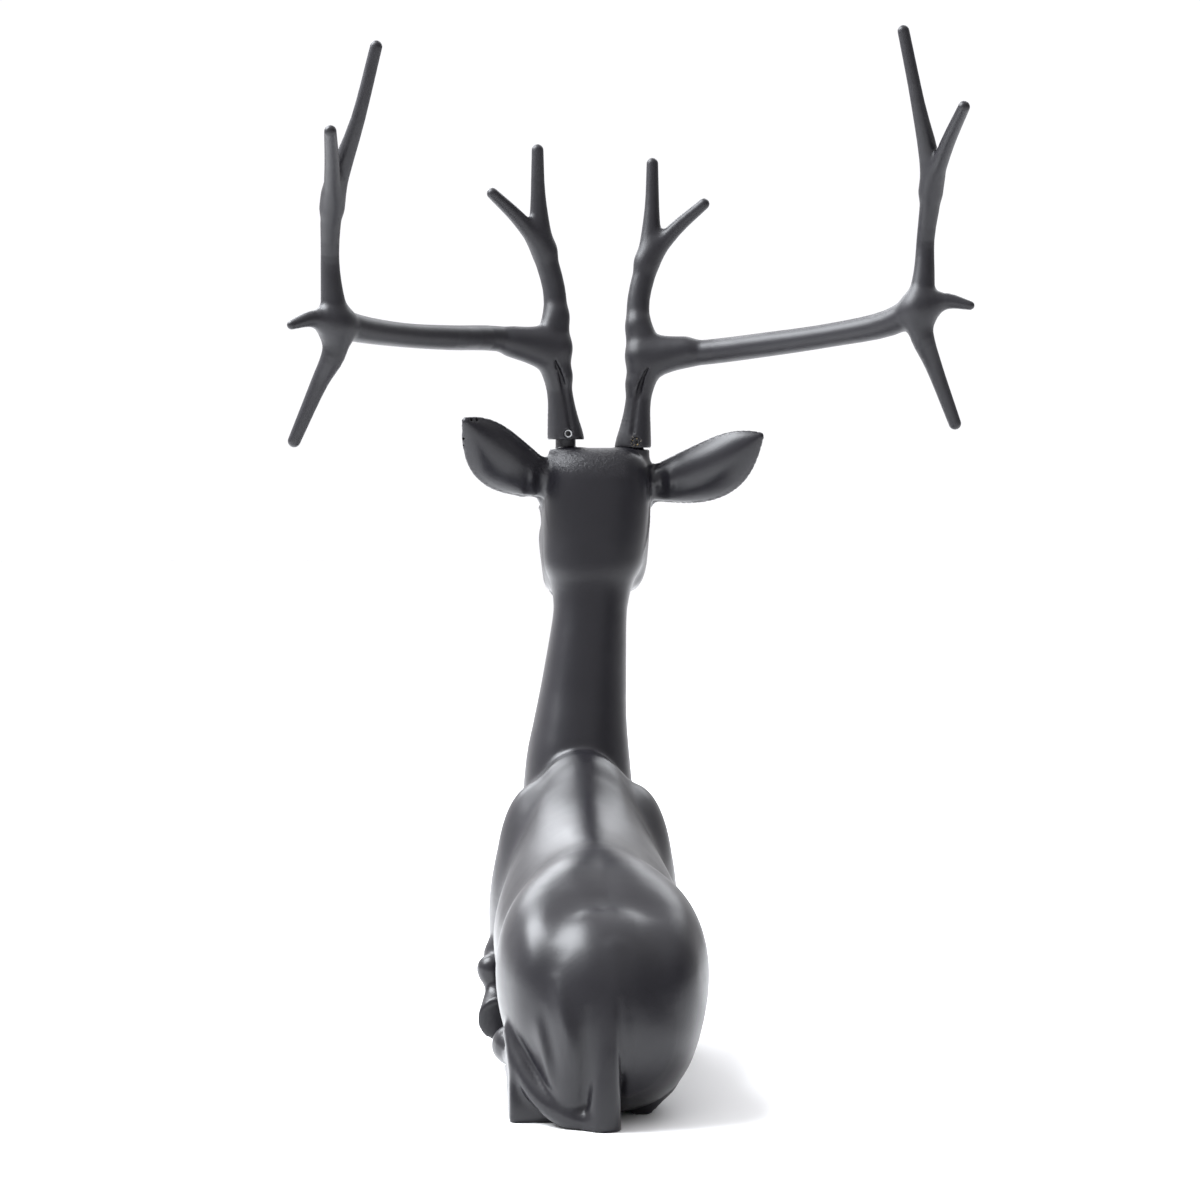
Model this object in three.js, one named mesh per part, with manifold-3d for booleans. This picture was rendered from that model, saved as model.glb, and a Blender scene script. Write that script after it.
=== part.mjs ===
// Cast iron stag lying on the floor with its head raised, and two antlers of their own casting.
// Each antler drops on a round peg on the crown and is clamped there by one set screw.
// Millimetres. The stag faces -Y, its left side is +X, and it rests on the plane Z = 0.
import * as THREE from 'three'
import { ConvexGeometry } from 'three/addons/geometries/ConvexGeometry.js'
import { mergeVertices } from 'three/addons/utils/BufferGeometryUtils.js'
import Module from 'manifold-3d'

const wasm = await Module()
wasm.setup()

// Driving sizes
const STATUE_HEIGHT = 787
const PEG_DIAMETER = 16
const PEG_LENGTH = 15
const SOCKET_CLEARANCE = 0.5
const SOCKET_EXTRA_DEPTH = 1.5
const LEFT_SEAT_GAP = 8
const RIGHT_SEAT_GAP = 1.5
const SCREW_DIAMETER = 6
const SCREW_LENGTH = 5.4
const SCREW_HEX = 3
const SCREW_HEX_DEPTH = 3
const SCREW_ABOVE_RIM = 4.6
const RUNNING_GAP = 0.3

// The free forms are drawn in steps, with so many steps to the full height.
const STEPS_IN_HEIGHT = 1150.6
const STEP = STATUE_HEIGHT / STEPS_IN_HEIGHT

// Pose of the head, in degrees and steps: turned to the stag's left and tipped nose down.
const HEAD_TURN = 6
const HEAD_TIP = 24
const SKULL = [602, -25, 626]
const PEDICLE_FOOT = [615, -25, 640]
const PEDICLE_TOP = 686
const PEDICLE_SPREAD = 39.7

const IRON = new THREE.MeshStandardMaterial({ color: 0x38373c, roughness: 0.45, metalness: 0.6 })
const LEFT_SCREW_STEEL = new THREE.MeshStandardMaterial({ color: 0xb9bcc2, roughness: 0.3, metalness: 1 })
const RIGHT_SCREW_STEEL = new THREE.MeshStandardMaterial({ color: 0xa58a55, roughness: 0.35, metalness: 1 })

// Places are written as [forward, left, up] in steps, forward from the back of the tail.
const place = ([forward, left, up]) => new THREE.Vector3(left, -forward, up)
const radians = THREE.MathUtils.degToRad

// Axes of the head: along its length to the nose, to its left and up through its crown
const turned = radians(HEAD_TURN)
const tipped = radians(HEAD_TIP)
const HEAD_FORWARD = place([Math.cos(turned), Math.sin(turned), 0])
const HEAD_LEFT = place([-Math.sin(turned), Math.cos(turned), 0])
const HEAD_ALONG = HEAD_FORWARD.clone().multiplyScalar(Math.cos(tipped)).add(place([0, 0, -Math.sin(tipped)]))
const HEAD_UP = HEAD_FORWARD.clone().multiplyScalar(Math.sin(tipped)).add(place([0, 0, Math.cos(tipped)]))
const BODY_AXES = [place([1, 0, 0]), place([0, 1, 0]), place([0, 0, 1])]
const HEAD_AXES = [HEAD_ALONG, HEAD_LEFT, HEAD_UP]

// Value between the rows of a table, by a smooth curve through the rows
function between(rows, where) {
  const last = rows.length - 1
  const spot = THREE.MathUtils.clamp(where, rows[0][0], rows[last][0])
  let i = 0
  while (i < last - 1 && rows[i + 1][0] < spot) i += 1
  const t = (spot - rows[i][0]) / (rows[i + 1][0] - rows[i][0])
  const before = rows[Math.max(i - 1, 0)]
  const after = rows[Math.min(i + 2, last)]
  return rows[i].map((value, k) => curveThrough(before[k], value, rows[i + 1][k], after[k], t))
}

// Catmull-Rom curve from b to c
function curveThrough(a, b, c, d, t) {
  const rise = (c - a) / 2
  const fall = (d - b) / 2
  const bend = 2 * b - 2 * c + rise + fall
  return b + rise * t + (3 * c - 3 * b - 2 * rise - fall) * t * t + bend * t * t * t
}

// Each form below answers how far a point is outside it, in steps, with less than nothing inside.

// An ellipsoid with its three half sizes, tipped nose down and turned to the left by some degrees
function egg(centre, halves, tip = 0, turn = 0) {
  const middle = place(centre)
  const [slope, aside] = [radians(tip), radians(turn)]
  const heading = place([Math.cos(aside), Math.sin(aside), 0])
  const along = heading.clone().multiplyScalar(Math.cos(slope)).add(place([0, 0, -Math.sin(slope)]))
  const up = heading.clone().multiplyScalar(Math.sin(slope)).add(place([0, 0, Math.cos(slope)]))
  const side = place([-Math.sin(aside), Math.cos(aside), 0])
  const offset = new THREE.Vector3()
  return (point) => {
    offset.subVectors(point, middle)
    const parts = [offset.dot(along), offset.dot(side), offset.dot(up)]
    const near = Math.hypot(...parts.map((value, k) => value / halves[k]))
    const steep = Math.hypot(...parts.map((value, k) => value / halves[k] ** 2))
    return steep > 0 ? (near * (near - 1)) / steep : -Math.min(...halves)
  }
}

// A form of rounded sections along one axis. A row is [along, half width, middle, up, down, fullness].
function sections(origin, axes, rows) {
  const start = place(origin)
  const offset = new THREE.Vector3()
  const first = rows[0][0]
  const last = rows[rows.length - 1][0]
  return (point) => {
    offset.subVectors(point, start)
    const along = offset.dot(axes[0])
    const side = Math.abs(offset.dot(axes[1]))
    const [, width, middle, up, down, fullness] = between(rows, along)
    const rise = offset.dot(axes[2]) - middle
    const height = rise > 0 ? up : down
    const reach = ((side / width) ** fullness + (Math.abs(rise) / height) ** fullness) ** (1 / fullness)
    const radius = Math.hypot(side, rise)
    const across = reach > 0.05 ? radius * (1 - 1 / reach) : -Math.min(width, height)
    return Math.max(across, first - along, along - last)
  }
}

// An upright form in level sections with rounded ends. A row is [up, forward, left, half width, half depth].
function column(rows) {
  const fullness = 2.4
  const rounding = 30
  const [lowest, highest] = [rows[0][0], rows[rows.length - 1][0]]
  return (point) => {
    const [, forward, left, width, depth] = between(rows, point.z)
    const [ahead, side] = [Math.abs(-point.y - forward), Math.abs(point.x - left)]
    const reach = ((side / width) ** fullness + (ahead / depth) ** fullness) ** (1 / fullness)
    const gap = reach > 0.05 ? Math.hypot(side, ahead) * (1 - 1 / reach) : -Math.min(width, depth)
    const beyond = Math.max(lowest - point.z, point.z - highest)
    const near = Math.max(rounding - Math.abs(gap - beyond), 0) / rounding
    return Math.max(gap, beyond) + (near * near * rounding) / 4
  }
}

// Two forms joined with a fillet of about the given size
function fillet(first, second, size) {
  return (point) => {
    const a = first(point)
    const b = second(point)
    const near = Math.max(size - Math.abs(a - b), 0) / size
    return Math.min(a, b) - (near * near * size) / 4
  }
}

const bothSides = ([forward, left, up], make) => [make([forward, left, up]), make([forward, -left, up])]

// Trunk from the hips to the shoulders, in sections along the back
const TRUNK_ROWS = [
  [46, 56, 104, 56, 72, 2.0],
  [68, 76, 112, 74, 90, 2.1],
  [95, 93, 122, 92, 110, 2.4],
  [120, 102, 130, 103, 128, 2.7],
  [150, 105, 136, 113, 142, 3.0],
  [180, 104, 140, 119, 152, 2.9],
  [210, 102, 143, 121, 157, 2.5],
  [250, 99, 146, 120, 158, 2.0],
  [290, 100, 148, 119, 158, 1.75],
  [340, 105, 150, 124, 158, 1.8],
  [380, 106, 150, 134, 158, 1.85],
  [420, 101, 150, 150, 158, 1.85],
  [455, 93, 150, 170, 158, 1.9],
  [485, 89, 150, 188, 156, 2.0],
  [510, 88, 150, 192, 153, 2.1],
  [545, 84, 150, 162, 150, 2.1],
  [600, 70, 150, 110, 120, 2.0],
]

// Head from the back of the skull to the muzzle, in sections along its length
const HEAD_ROWS = [
  [10, 57, 0, 54, 72, 2.5],
  [45, 61, -4, 52, 88, 3.4],
  [80, 58, 0, 42, 82, 2.8],
  [118, 48, 0, 35, 64, 2.3],
  [158, 38, 0, 29, 50, 2.3],
  [193, 33, 0, 26, 42, 2.4],
  [222, 31, 0, 24, 36, 2.5],
]

// Jaw, deep and square at its back corners, and set a little to the left
const JAW_ASIDE = 3.8
const JAW_ROWS = [
  [28, 46, -36, 26, 38, 3.2],
  [46, 56, -38, 34, 47, 5.0],
  [74, 57, -38, 36, 47, 6.0],
  [98, 50, -34, 30, 39, 4.0],
  [130, 38, -28, 24, 28, 2.6],
]

const NECK_ROWS = [
  [190, 560, 2, 76, 84],
  [260, 572, 2, 66.5, 76],
  [329, 579, 2, 59.7, 69],
  [375, 584, -1, 53.3, 62],
  [419, 589, -5.5, 48.6, 55],
  [488, 594, -12, 42.8, 48],
  [512, 597, -14, 43.5, 47],
  [532, 600, -15, 48, 48],
  [556, 602, -17, 57, 50],
  [600, 606, -20, 60, 50],
  [645, 610, -22, 60, 48],
  [688, 613, -23, 56, 45],
]

function bodyForm() {
  let form = sections([0, 0, 0], BODY_AXES, TRUNK_ROWS)
  form = fillet(form, egg([113, 0, 112], [102, 98, 110]), 10)
  form = fillet(form, egg([68, 33, 62], [54, 34, 82]), 22)
  form = fillet(form, egg([92, -35, 89], [66, 52, 67]), 22)
  form = fillet(form, egg([592, 0, 158], [84, 80, 124]), 40)
  form = fillet(form, egg([165, 52, 148], [112, 54, 86], 0, -6), 14)
  form = fillet(form, egg([165, -56, 150], [112, 52, 88], 0, 6), 14)
  form = fillet(form, egg([500, 56, 196], [56, 44, 110], 12), 22)
  form = fillet(form, egg([500, -60, 194], [56, 43, 112], 12), 22)
  for (const elbow of bothSides([522, 70, 150], (at) => egg(at, [62, 36, 84]))) form = fillet(form, elbow, 18)
  form = fillet(form, column(NECK_ROWS), 14)
  const jawFrom = [SKULL[0] - JAW_ASIDE * Math.sin(turned), SKULL[1] + JAW_ASIDE * Math.cos(turned), SKULL[2]]
  let head = sections(SKULL, HEAD_AXES, HEAD_ROWS)
  head = fillet(head, sections(jawFrom, HEAD_AXES, JAW_ROWS), 12)
  head = fillet(head, egg([803, -3, 530], [27, 30, 31], 15), 12)
  return fillet(form, head, 12)
}

// Grid planes from one value to another, with each stretch [until, spacing] cut evenly
function planes(from, stretches) {
  const values = [from]
  for (const [until, spacing] of stretches) {
    const start = values[values.length - 1]
    const count = Math.round((until - start) / spacing)
    for (let i = 1; i <= count; i += 1) values.push(start + ((until - start) * i) / count)
  }
  return values
}

// The corners of a cell are numbered by their three binary digits, so neighbours differ in one digit.
const CORNERS = [0, 1, 2, 3, 4, 5, 6, 7]
const DIGITS = [1, 2, 4]

// Gives each corner of a cell the number of the connected patch it is in. Inside corners connect along
// edges. Outside ones also connect across a face whose other two corners are both inside.
function patches(inside) {
  const label = [...CORNERS]
  const merge = (one, other) => {
    const [keep, drop] = [label[one], label[other]]
    CORNERS.forEach((corner) => { if (label[corner] === drop) label[corner] = keep })
  }
  for (const corner of CORNERS) {
    for (const digit of DIGITS) {
      if (inside[corner] === inside[corner ^ digit]) merge(corner, corner ^ digit)
      for (const second of DIGITS) {
        const across = corner ^ digit ^ second
        const open = !inside[corner] && !inside[across] && inside[corner ^ digit] && inside[corner ^ second]
        if (second !== digit && open) merge(corner, across)
      }
    }
  }
  return label
}

// Closed skin of a form: a vertex for each patch of surface in each grid cell, moved on to the surface,
// and one face across each grid edge that the surface cuts.
function skin(form, xs, ys, zs) {
  const index = (i, j, k) => (i * ys.length + j) * zs.length + k
  const values = new Float64Array(xs.length * ys.length * zs.length)
  const probe = new THREE.Vector3()
  xs.forEach((x, i) => ys.forEach((y, j) => zs.forEach((z, k) => {
    values[index(i, j, k)] = form(probe.set(x, y, z))
  })))
  const vertices = []
  const faces = []
  const cells = new Map()

  function cellAt(i, j, k) {
    const key = index(i, j, k)
    if (!cells.has(key)) {
      const spots = CORNERS.map((n) => (
        new THREE.Vector3(xs[i + (n & 1)], ys[j + ((n >> 1) & 1)], zs[k + (n >> 2)])))
      const depths = CORNERS.map((n) => values[index(i + (n & 1), j + ((n >> 1) & 1), k + (n >> 2))])
      cells.set(key, { spots, depths, label: patches(depths.map((depth) => depth < 0)), made: new Map() })
    }
    return cells.get(key)
  }

  // Vertex of the surface patch of one cell that a cut edge, from an inside to an outside corner, is part of
  function vertexOf(cell, within, without) {
    const { spots, depths, label, made } = cell
    const key = label[within] * 8 + label[without]
    if (made.has(key)) return made.get(key)
    const sum = new THREE.Vector3()
    let count = 0
    for (const corner of CORNERS.filter((n) => depths[n] < 0 && label[n] === label[within])) {
      for (const other of DIGITS.map((digit) => corner ^ digit)) {
        if (depths[other] < 0 || label[other] !== label[without]) continue
        const share = depths[corner] / (depths[corner] - depths[other])
        sum.add(probe.lerpVectors(spots[corner], spots[other], share))
        count += 1
      }
    }
    const point = settled(form, sum.divideScalar(count))
    made.set(key, vertices.length / 3)
    vertices.push(point.x, point.y, point.z)
    return made.get(key)
  }

  const steps = [[1, 0, 0], [0, 1, 0], [0, 0, 1]]
  for (let i = 1; i < xs.length - 1; i += 1) {
    for (let j = 1; j < ys.length - 1; j += 1) {
      for (let k = 1; k < zs.length - 1; k += 1) {
        steps.forEach(([a, b, c], axis) => {
          const here = values[index(i, j, k)] < 0
          if (here === values[index(i + a, j + b, k + c)] < 0) return
          const [one, two] = [steps[(axis + 1) % 3], steps[(axis + 2) % 3]]
          const around = [[1, 1], [0, 1], [0, 0], [1, 0]].map(([m, n]) => {
            const back = one.map((value, d) => m * value + n * two[d])
            const cell = cellAt(i - back[0], j - back[1], k - back[2])
            const low = back[0] + 2 * back[1] + 4 * back[2]
            const high = low + DIGITS[axis]
            return here ? vertexOf(cell, low, high) : vertexOf(cell, high, low)
          })
          const [p, q, r, t] = here ? around : around.reverse()
          faces.push(p, q, r, p, r, t)
        })
      }
    }
  }
  const geometry = new THREE.BufferGeometry()
  geometry.setAttribute('position', new THREE.Float32BufferAttribute(vertices, 3))
  geometry.setIndex(faces)
  return geometry
}

// A point after two short moves along the slope of the form, on to its surface
function settled(form, start) {
  const nudge = 0.5
  const point = start.clone()
  for (let pass = 0; pass < 2; pass += 1) {
    const value = form(point)
    const rises = BODY_AXES.map((axis) => form(point.clone().addScaledVector(axis, nudge)) - value)
    const steep = rises.reduce((sum, rise) => sum + (rise / nudge) ** 2, 0)
    const pull = -value / Math.max(steep, 0.2)
    rises.forEach((rise, k) => point.addScaledVector(BODY_AXES[k], (pull * rise) / nudge))
  }
  return point
}

// Solid of a closed geometry, and geometry of a solid
function solid(geometry) {
  const plain = geometry.clone()
  plain.deleteAttribute('normal')
  plain.deleteAttribute('uv')
  const merged = mergeVertices(plain, 1e-4)
  const made = new wasm.Manifold(new wasm.Mesh({
    numProp: 3,
    vertProperties: new Float32Array(merged.attributes.position.array),
    triVerts: new Uint32Array(merged.index.array),
  }))
  return made
}

function geometryOf(made) {
  const mesh = made.getMesh()
  const geometry = new THREE.BufferGeometry()
  geometry.setAttribute('position', new THREE.BufferAttribute(new Float32Array(mesh.vertProperties), 3))
  geometry.setIndex(new THREE.BufferAttribute(new Uint32Array(mesh.triVerts), 1))
  return geometry
}

// Closed skin over rings of points, each ring with the same count, run from one end point to the other
function ringSkin(rings, first, last) {
  const sides = rings[0].length
  const vertices = [first, ...rings.flat(), last].flatMap((point) => [point.x, point.y, point.z])
  const faces = []
  const at = (ring, side) => 1 + ring * sides + (side % sides)
  const end = 1 + rings.length * sides
  for (let side = 0; side < sides; side += 1) {
    faces.push(0, at(0, side + 1), at(0, side))
    faces.push(end, at(rings.length - 1, side), at(rings.length - 1, side + 1))
    for (let ring = 0; ring < rings.length - 1; ring += 1) {
      faces.push(at(ring, side), at(ring, side + 1), at(ring + 1, side + 1))
      faces.push(at(ring, side), at(ring + 1, side + 1), at(ring + 1, side))
    }
  }
  const geometry = new THREE.BufferGeometry()
  geometry.setAttribute('position', new THREE.Float32BufferAttribute(vertices, 3))
  geometry.setIndex(faces)
  return geometry
}

// Round limb with domed ends along a smooth path. A row is [forward, left, up, radius], in steps.
function limb(rows, sides = 10, stretches = 3, start = 'dome', finish = 'dome') {
  const path = new THREE.CatmullRomCurve3(rows.map(place), false, 'centripetal')
  const count = (rows.length - 1) * stretches
  const rings = []
  let side = new THREE.Vector3(1, 0, 0)
  const ring = (centre, ahead, radius) => {
    side = side.clone().addScaledVector(ahead, -side.dot(ahead)).normalize()
    const other = ahead.clone().cross(side)
    return Array.from({ length: sides }, (_, n) => {
      const angle = (n / sides) * 2 * Math.PI
      const spot = centre.clone().addScaledVector(side, radius * Math.cos(angle))
      return spot.addScaledVector(other, radius * Math.sin(angle))
    })
  }
  const table = rows.map((row, k) => [k, row[3]])
  const ends = [path.getPoint(0), path.getPoint(1)]
  const ways = [path.getTangent(0), path.getTangent(1)]
  if (start === 'dome') {
    for (const lift of [70, 35]) {
      const radius = rows[0][3]
      const back = ends[0].clone().addScaledVector(ways[0], -radius * Math.sin(radians(lift)))
      rings.push(ring(back, ways[0], radius * Math.cos(radians(lift))))
    }
  }
  for (let n = 0; n <= count; n += 1) {
    rings.push(ring(path.getPoint(n / count), path.getTangent(n / count), between(table, n / stretches)[1]))
  }
  const radius = rows[rows.length - 1][3]
  if (finish === 'dome') {
    for (const lift of [35, 70]) {
      const ahead = ends[1].clone().addScaledVector(ways[1], radius * Math.sin(radians(lift)))
      rings.push(ring(ahead, ways[1], radius * Math.cos(radians(lift))))
    }
  }
  const first = ends[0].clone().addScaledVector(ways[0], start === 'dome' ? -rows[0][3] : 0)
  const last = ends[1].clone().addScaledVector(ways[1], finish === 'dome' ? radius : 0)
  const geometry = ringSkin(rings, first, last)
  geometry.scale(STEP, STEP, STEP)
  return solid(geometry)
}

// Upright turned solid from a profile of [radius, height] points in millimetres
function turnedSolid(profile, sides = 16) {
  const points = profile.map(([radius, height]) => new THREE.Vector2(radius, height))
  const geometry = new THREE.LatheGeometry(points, sides)
  geometry.rotateX(Math.PI / 2)
  return geometry
}

// Ear: a leaf hollowed on its front side, from inside the skull to its tip
const EAR_ROOT = [622, -23, 646]
const EAR_ROOT_OUT = 60
const EAR_LIFT = { left: 1, right: -3 }
const EAR_REACH = { left: 109, right: 120 }
const EAR_BACK = 86
const EAR_RISE = { left: 75, right: 62 }
const EAR_HALF_WIDTH = 34
const EAR_SAG = { left: 11, right: 13 }
const EAR_STATIONS = 9

function ear(side, sign) {
  const root = place(EAR_ROOT).addScaledVector(HEAD_LEFT, sign * EAR_ROOT_OUT)
  root.z += EAR_LIFT[side]
  const along = HEAD_LEFT.clone().multiplyScalar(sign * EAR_REACH[side])
  along.addScaledVector(HEAD_FORWARD, -EAR_BACK)
  along.z += EAR_RISE[side]
  const front = place([0.85, 0.45 * sign, 0.26])
  front.addScaledVector(along, -front.dot(along) / along.lengthSq()).normalize()
  const across = front.clone().cross(along).normalize().multiplyScalar(sign)
  const spot = (share) => {
    const sag = EAR_SAG[side] * Math.sin(Math.PI * share)
    return root.clone().addScaledVector(along, share).addScaledVector(across, -sag)
  }
  const rings = []
  for (let n = 0; n <= EAR_STATIONS; n += 1) {
    const share = -0.14 + (1.12 * n) / EAR_STATIONS
    const width = EAR_HALF_WIDTH * leafWidth(share)
    const centre = spot(Math.max(share, 0)).addScaledVector(along, Math.min(share, 0))
    rings.push(Array.from({ length: 12 }, (_, m) => {
      const angle = (m / 12) * 2 * Math.PI
      const bulge = Math.sin(angle)
      const depth = bulge * width * (bulge < 0 ? 0.5 : 0.1 - 0.3 * smooth((share - 0.1) / 0.2))
      return centre.clone().addScaledVector(across, width * Math.cos(angle)).addScaledVector(front, depth)
    }))
  }
  if (sign < 0) rings.forEach((ring) => ring.reverse())
  const geometry = ringSkin(rings, spot(0).addScaledVector(along, -0.14), spot(1))
  geometry.scale(STEP, STEP, STEP)
  return solid(geometry)
}

const smooth = (share) => THREE.MathUtils.smoothstep(share, 0, 1)

// Half width of the ear as a share of its widest: a waist at the root, a belly and a blunt tip
function leafWidth(share) {
  if (share < 0.5) return 0.56 + 0.44 * Math.sin(Math.PI * Math.max(share, 0))
  return Math.max(1 - (2 * share - 1) ** 2.4, 0.25 - 2 * Math.max(share - 0.93, 0))
}

function union(solids) {
  return solids.reduce((whole, piece) => whole.add(piece))
}

// Pegs and seats of the antlers, in steps at the seat and millimetres on the peg
function seatPlace(sign) {
  const foot = place(PEDICLE_FOOT).addScaledVector(HEAD_LEFT, sign * PEDICLE_SPREAD)
  return new THREE.Vector3(foot.x * STEP, foot.y * STEP, PEDICLE_TOP * STEP)
}

function pedicle(sign) {
  const seat = seatPlace(sign)
  const depth = 52 * STEP
  const pegRadius = PEG_DIAMETER / 2
  const chamfer = 1
  const profile = [[0, -depth], [27 * STEP, -depth], [23 * STEP, -depth * 0.5], [20.5 * STEP, -depth * 0.18],
    [20 * STEP, 0], [pegRadius, 0], [pegRadius, PEG_LENGTH - chamfer], [pegRadius - chamfer, PEG_LENGTH],
    [0, PEG_LENGTH]]
  const geometry = turnedSolid(profile)
  geometry.translate(seat.x, seat.y, seat.z)
  return solid(geometry)
}

function tail() {
  const rows = [[50, -6, 175, 12], [30, -4, 130, 14], [22, 0, 90, 15.5], [18.5, 4, 40, 16.5],
    [18, 6.5, -12, 17.5]]
  return limb(rows, 10, 1)
}

// Solid with flat faces over corners written as places
function block(corners) {
  const geometry = new ConvexGeometry(corners.map(place))
  geometry.scale(STEP, STEP, STEP)
  return solid(geometry)
}

function legs() {
  const hindLeft = limb([[150, 78, 60, 24], [108, 74, 34, 24], [150, 77, 22, 20], [240, 78, 16, 15],
    [330, 79, 17, 15], [366, 80, 24, 18], [388, 86, 29, 22], [408, 86, 21, 18], [438, 85, 12, 11]], 8, 1)
  const hamRidge = limb([[98, 96, 88, 9], [74, 86, 56, 11], [52, 66, 28, 13], [34, 40, 12, 14],
    [26, 22, 8, 14]], 8, 1)
  const hockLeft = block([[62, 41, -10], [62, 100, -10], [130, 41, -10], [130, 100, -10],
    [62, 64, 30], [62, 100, 30], [87, 100, 92], [130, 100, 92]])
  const hindRight = limb([[150, -42, 17, 18], [200, -52, 17, 17], [260, -68, 17, 16], [330, -80, 18, 17],
    [372, -82, 22, 23], [430, -82, 14, 12]], 8, 1)
  const hockRight = block([104, 180].flatMap((forward) => [[forward, -29, -10], [forward, -38, -10],
    [forward, -74, 28], [forward, -74, 44], [forward, -29, 44]]))
  const front = [1, -1].flatMap((sign) => [
    limb([[500, sign * 80, 110, 34], [560, sign * 82, 68, 27], [612, sign * 76, 33, 23]], 9, 2),
    limb([[612, sign * 76, 30, 20], [540, sign * 92, 64, 14], [470, sign * 105, 102, 16]], 8, 2),
    limb([[472, sign * 104, 100, 15], [462, sign * 102, 80, 11], [453, sign * 100, 64, 17],
      [437, sign * 98, 49, 24]], 10, 1, 'dome', 'flat'),
  ])
  return union([hindLeft, hamRidge, hockLeft, hindRight, hockRight, ...front])
}

function stagBody() {
  const torsoSkin = skin(
    bodyForm(),
    planes(-146, [[146, 20.5]]),
    planes(-860, [[-540, 21], [34, 32]]),
    planes(-62, [[340, 29.5], [730, 19]]),
  )
  torsoSkin.scale(STEP, STEP, STEP)
  let body = solid(torsoSkin)
  body = body.add(legs()).add(tail())
  body = body.add(ear('left', 1)).add(ear('right', -1)).add(pedicle(1)).add(pedicle(-1))
  const room = new THREE.BoxGeometry(2000, 2000, 2000)
  room.translate(0, 0, 1000)
  return body.intersect(solid(room))
}

// Antler limbs as rows of [outward, forward, up, radius] in steps from the middle of the base rim
const ANTLER_LIMBS = {
  browStem: [[-1, 0, -8, 21.5], [0, 0, 2, 21], [3, 0, 22, 18], [6, 0, 47, 15], [10, 1, 80, 15],
    [10, 3, 108, 15.5], [10, 10, 140, 14], [12, 15, 175, 13], [26, 18, 230, 13], [30, 18, 283, 8.5],
    [31, 16, 333, 6.8]],
  browTine: [[22, 17, 218, 11.5], [55, 7, 255, 8.5], [87, -8, 283, 6.5]],
  crotchWeb: [[8, -1, 74, 13], [22, -4, 94, 16], [62, -11, 110, 13.5]],
  upperWeb: [[10, 6, 142, 12], [24, 0, 122, 12], [58, -8, 114, 12.5]],
  beam: [[10, -3, 106, 15], [79, -14, 113, 14.5], [148, -83, 117, 14], [206, -141, 122, 13.5],
    [262, -198, 131, 15], [291, -226, 143, 17]],
  tallStem: [[290, -224, 138, 17], [295, -226, 178, 12], [297, -228, 217, 10], [296, -264, 282, 12],
    [274, -297, 360, 7.6], [256, -311, 436, 6.5]],
  secondTine: [[297, -254, 268, 10], [303, -309, 312, 8], [310, -360, 346, 6.5]],
  shortTine: [[290, -226, 142, 15], [318, -238, 147, 9], [341, -250, 141, 5]],
  lowTine: [[287, -222, 138, 16], [293, -222, 108, 13], [307, -213, 78, 9.5], [334, -200, 13, 7]],
}
const ANTLER_SIDES = 8

// How each antler sits on its peg, in degrees: leaning back, leaning outward and turned to the stag's left
// The middle of each beam bows up or down from the pattern by so many steps.
const SETTING = {
  left: { back: 3.5, out: 0.4, turn: HEAD_TURN + 0.6, bow: 4 },
  right: { back: -3.5, out: -0.4, turn: HEAD_TURN - 0.6, bow: -4 },
}

const socketRadius = PEG_DIAMETER / 2 + SOCKET_CLEARANCE

function antlerGeometry(sign, lean, gap) {
  const slope = radians(lean.back)
  const fall = radians(lean.out)
  const leaned = ([out, forward, up, radius]) => {
    const f = forward * Math.cos(slope) - up * Math.sin(slope)
    const u = up * Math.cos(slope) + forward * Math.sin(slope)
    const outward = out * Math.cos(fall) + u * Math.sin(fall)
    return [f, sign * outward, u * Math.cos(fall) - out * Math.sin(fall), radius]
  }
  const inner = (k, rows) => k > 0 && k < rows.length - 1
  const bowed = ANTLER_LIMBS.beam.map(([out, forward, up, radius], k, rows) => (
    [out, forward, inner(k, rows) ? up + lean.bow : up, radius]))
  const limbs = Object.values({ ...ANTLER_LIMBS, beam: bowed })
  let whole = union(limbs.map((rows) => limb(rows.map(leaned), ANTLER_SIDES, 1)))
  const below = new THREE.BoxGeometry(200, 200, 100)
  below.translate(0, 0, -50)
  whole = whole.subtract(solid(below))
  const socketDepth = PEG_LENGTH - gap + SOCKET_EXTRA_DEPTH
  const socket = turnedSolid([[0, -1], [socketRadius, -1], [socketRadius, socketDepth], [0, socketDepth]])
  whole = whole.subtract(solid(socket))
  const holeRadius = SCREW_DIAMETER / 2 + RUNNING_GAP
  const hole = new THREE.CylinderGeometry(holeRadius, holeRadius, 30, 12)
  hole.translate(0, 15, SCREW_ABOVE_RIM)
  return geometryOf(whole.subtract(solid(hole)))
}

// Set screw along +Y, with its hexagon socket at the far end
function setScrewGeometry() {
  const shank = new THREE.CylinderGeometry(SCREW_DIAMETER / 2, SCREW_DIAMETER / 2, SCREW_LENGTH, 16)
  shank.translate(0, SCREW_LENGTH / 2, 0)
  const hexRadius = SCREW_HEX / 2 / Math.cos(Math.PI / 6)
  const hexagon = new THREE.CylinderGeometry(hexRadius, hexRadius, 2 * SCREW_HEX_DEPTH, 6)
  hexagon.translate(0, SCREW_LENGTH, 0)
  return geometryOf(solid(shank).subtract(solid(hexagon)))
}

function named(name, geometry, material) {
  const mesh = new THREE.Mesh(geometry, material)
  mesh.name = name
  return mesh
}

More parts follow.
